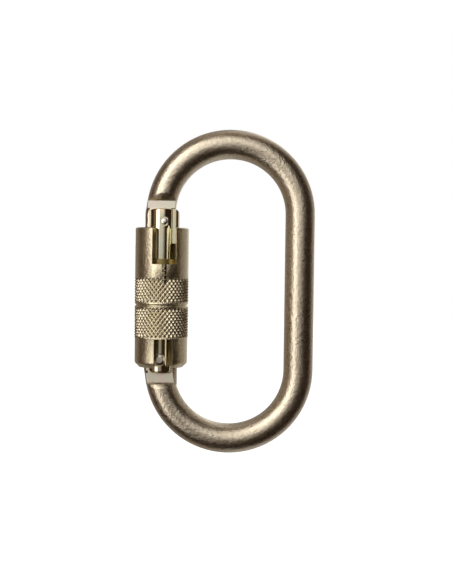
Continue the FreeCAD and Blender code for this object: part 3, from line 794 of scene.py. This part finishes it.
def slot(x_high, z_low, z_high):
    corners = [(-THROUGH, z_low, 0), (x_high, z_low, 0), (x_high, z_high, 0), (-THROUGH, z_high, 0)]
    return front_prism(corners, -SLOT_HALF_W, SLOT_HALF_W)


def cross_hole(place, radius, y_low, y_high):
    x, z = place
    return round_bar((x, y_low, z), (x, y_high, z), radius)


def make_barrel(material):
    """The turned barrel with its web, its two slots and the holes and seats of its pins."""
    corners = [
        (0, BARREL_LOW.z, 0),
        (GATE_R, BARREL_LOW.z, GATE_BOTTOM_EDGE_R),
        (GATE_R, BARREL_HIGH.z, GATE_TOP_EDGE_R),
        (0, BARREL_HIGH.z, 0),
    ]
    barrel = finished(lathe(corners), "barrel", material)
    cut_away(barrel, [web_block()], "UNION")
    groove_low, groove_high = RING_GROOVE_Z
    outside = GATE_R + OVERCUT
    cuts = [
        slot(TONGUE_ROOM_X, TOP_SLOT_Z, THROUGH),
        slot(THROUGH, -THROUGH, BOTTOM_SLOT_Z),
        round_bar((0, 0, BOTTOM_SLOT_Z - OVERCUT), (0, 0, PLUNGER_BORE_TOP_Z), PLUNGER_BORE_R),
        round_bar((0, STOP_PIN_INNER_R, STOP_PIN_Z), (0, outside, STOP_PIN_Z), STOP_PIN_R),
        leg_hole(),
        cross_hole(LATCH_PLACE, LATCH_R, -THROUGH, THROUGH),
        cross_hole(HINGE_PLACE, HINGE_R, -THROUGH, THROUGH),
        lathe([(RING_GROOVE_R, groove_low, 0), (outside, groove_low, 0),
               (outside, groove_high, 0), (RING_GROOVE_R, groove_high, 0)]),
    ]
    for place, radius, depth in (
        (LATCH_PLACE, LATCH_RECESS_R, LATCH_RECESS_DEPTH),
        (HINGE_PLACE, HINGE_RECESS_R, HINGE_RECESS_DEPTH),
    ):
        cuts.append(cross_hole(place, radius, -THROUGH, depth - GATE_R))
        cuts.append(cross_hole(place, radius, GATE_R - depth, THROUGH))
    cut_away(barrel, cuts)
    soften(barrel.data, SMOOTH_ANGLE)
    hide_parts("gate_barrel")
    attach(barrel, "gate")
    return barrel


def make_bar(bar_finish, flat_finish):
    """The oval bar. Its forged flats get their own brighter finish."""
    bar = dressed_copy("frame", "oval_bar", bar_finish)
    bar.data.materials.append(flat_finish)
    for polygon in bar.data.polygons:
        level = abs(abs(polygon.center.y) - FLAT_HALF_T * MM) < FLAT_ALLOWANCE * MM
        facing = abs(polygon.normal.y) > FLAT_FACING
        if level and facing and polygon.center.x < FLATS_END_X * MM:
            polygon.material_index = 1
            polygon.use_smooth = False
    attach(bar, "frame")
    return bar


def make_gate_pins(rivet_finish, shaded_collar_finish):
    for node, name, finish in (
        ("latch_rivet", "latch_pin", rivet_finish),
        ("hinge_rivet", "hinge_pin", rivet_finish),
        ("spring_collar", "collar", shaded_collar_finish),
    ):
        piece = dressed_copy(node, name, finish)
        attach(piece, "gate")


def give_hidden_nodes_a_finish(finishes):
    """The pieces that stay as the CAD made them."""
    for node, finish in finishes.items():
        materials = frame["nodes"][node].data.materials
        materials.clear()
        materials.append(finish)


def glow(tree, colour, strength):
    return add_node(tree, "ShaderNodeEmission", None, {"Color": colour, "Strength": strength}).outputs[0]


def make_world():
    """Plain soft light from all round. Camera, mirror and glass rays see the white backdrop."""
    world = bpy.data.worlds.new("studio")
    bpy.context.scene.world = world
    world.use_nodes = True
    tree = world.node_tree
    tree.nodes.clear()
    path = add_node(tree, "ShaderNodeLightPath")
    seen = Level(tree, path.outputs["Is Camera Ray"]).math("MAXIMUM", path.outputs["Is Glossy Ray"])
    seen = seen.math("MAXIMUM", path.outputs["Is Transmission Ray"])
    plain = add_node(tree, "ShaderNodeBackground", None, {"Color": rgb(1, 1, 1), "Strength": 0.55}).outputs[0]
    white = add_node(tree, "ShaderNodeBackground", None, {"Color": rgb(1, 1, 1), "Strength": 1.0}).outputs[0]
    mix = add_node(tree, "ShaderNodeMixShader", None, {0: seen, 1: plain, 2: white})
    output = add_node(tree, "ShaderNodeOutputWorld")
    tree.links.new(mix.outputs[0], output.inputs[0])


def make_walls():
    """The studio round the object, which only the metal sees: dim walls, a soft box at the front left."""
    work = bmesh.new()
    bmesh.ops.create_uvsphere(work, u_segments=64, v_segments=32, radius=1.0)
    walls = finished(work, "studio_walls", None)
    material = bpy.data.materials.new("studio_walls")
    material.use_nodes = True
    tree = material.node_tree
    tree.nodes.clear()
    place = add_node(tree, "ShaderNodeTexCoord").outputs["Object"]
    split = add_node(tree, "ShaderNodeSeparateXYZ", None, {"Vector": place})
    x, y, z = (Level(tree, split.outputs[i]) for i in range(3))
    azimuth = x.math("ARCTAN2", y * -1) * (180 / math.pi)
    rise = z.math("ARCSINE") * (180 / math.pi)
    strip = azimuth.band(-51, -27, 5) * rise.band(-32, 52, 8) * 1.9
    panel = azimuth.band(-50, 20, 9) * rise.band(5, 56, 9) * 1.05
    fill = azimuth.band(-26, 5, 6) * rise.band(-24, 5, 8) * 0.26
    shoulder = azimuth.band(-80, -50, 7) * rise.band(-30, 50, 12) * 0.16
    right = azimuth.ramp(88, 122) * 0.16
    behind = azimuth.math("ABSOLUTE").ramp(100, 130) * 0.26
    back_box = azimuth.band(154, 172, 6) * rise.band(-10, 48, 10) * 0.8
    overhead = rise.ramp(56, 76) * 0.14
    pale = strip + panel + fill + right + behind + back_box
    level = pale + shoulder + overhead + 0.022
    brown = rgb(1.0, 0.62, 0.38)
    cream = rgb(1.0, 0.95, 0.87)
    colour = add_node(tree, "ShaderNodeMix", {"data_type": "RGBA"})
    put(tree, colour.inputs[0], (pale * 3).math("ADD", 0, clamp=True))
    put(tree, colour.inputs[6], brown)
    put(tree, colour.inputs[7], cream)
    output = add_node(tree, "ShaderNodeOutputMaterial")
    tree.links.new(glow(tree, colour.outputs[2], level), output.inputs[0])
    walls.data.materials.clear()
    walls.data.materials.append(material)
    walls.visible_camera = False
    walls.visible_diffuse = False
    walls.visible_transmission = False
    walls.visible_volume_scatter = False
    walls.visible_shadow = False


def make_floor():
    work = bmesh.new()
    bmesh.ops.create_grid(work, x_segments=1, y_segments=1, size=3.0)
    floor = finished(work, "floor", None)
    floor.location.z = (FRAME_LOW.z - FLOOR_DROP) * MM
    material = bpy.data.materials.new("pale_floor")
    material.use_nodes = True
    tree = material.node_tree
    tree.nodes.clear()
    path = add_node(tree, "ShaderNodeLightPath")
    seen = Level(tree, path.outputs["Is Camera Ray"])
    paper = add_node(tree, "ShaderNodeBsdfDiffuse", None, {"Color": rgb(0.30, 0.30, 0.30)}).outputs[0]
    together = add_node(tree, "ShaderNodeAddShader")
    tree.links.new(paper, together.inputs[0])
    tree.links.new(glow(tree, rgb(1, 1, 1), seen * 0.93), together.inputs[1])
    output = add_node(tree, "ShaderNodeOutputMaterial")
    tree.links.new(together.outputs[0], output.inputs[0])
    floor.data.materials.clear()
    floor.data.materials.append(material)
    floor.visible_glossy = False


def make_lamp(name, place, size, power):
    light = bpy.data.lights.new(name, "AREA")
    light.shape = "DISK"
    light.size = size * MM
    light.energy = power
    lamp = bpy.data.objects.new(name, light)
    bpy.context.scene.collection.objects.link(lamp)
    lamp.location = Vector(place) * MM
    lamp.rotation_euler = (-Vector(place)).to_track_quat("-Z", "Y").to_euler()
    lamp.visible_glossy = False


def make_camera():
    data = bpy.data.cameras.new("camera")
    data.lens = CAMERA_LENS
    data.clip_start = 0.01
    camera = bpy.data.objects.new("camera", data)
    bpy.context.scene.collection.objects.link(camera)
    back = Vector((0, -math.cos(CAMERA_RISE), math.sin(CAMERA_RISE)))
    camera.location = (Vector(CAMERA_TARGET) + back * CAMERA_DISTANCE) * MM
    aim = (-back).to_track_quat("-Z", "Y").to_matrix()
    camera.rotation_euler = (aim @ Matrix.Rotation(CAMERA_ROLL, 3, "Z")).to_euler()
    bpy.context.scene.camera = camera


make_camera()
make_world()
make_walls()
make_floor()
make_lamp("key_lamp", (-350, -500, 450), 400, 9)
make_lamp("fill_lamp", (450, -350, 250), 500, 4)

bar_finish = bar_zinc()
sleeve_finish = sleeve_zinc()
barrel_finish = barrel_zinc()
rivet_finish = rivet_steel()
shaded_collar_finish = collar_zinc()
shaded_spring_finish = spring_steel()

make_bar(bar_finish, flat_zinc())
make_barrel(barrel_finish)
make_gate_pins(rivet_finish, shaded_collar_finish)
make_sleeve(sleeve_finish)
band_tree = knurl_tree()
groove_side = GROOVE_HALF_W + GROOVE_LAND
make_knurl(band_tree, "upper_knurl", GROOVE_Z + groove_side, KNURL_TOP_Z, sleeve_finish, [leg_slot()])
make_knurl(band_tree, "lower_knurl", KNURL_BOTTOM_Z, GROOVE_Z - groove_side, sleeve_finish, [])
make_torsion_spring(shaded_spring_finish)
give_hidden_nodes_a_finish({
    "gate_plunger": rivet_finish,
    "gate_return_spring": shaded_spring_finish,
    "sleeve_stop_pin": rivet_finish,
    "thrust_washer": shaded_collar_finish,
    "snap_ring": shaded_spring_finish,
})

bpy.context.scene.view_settings.view_transform = "Standard"
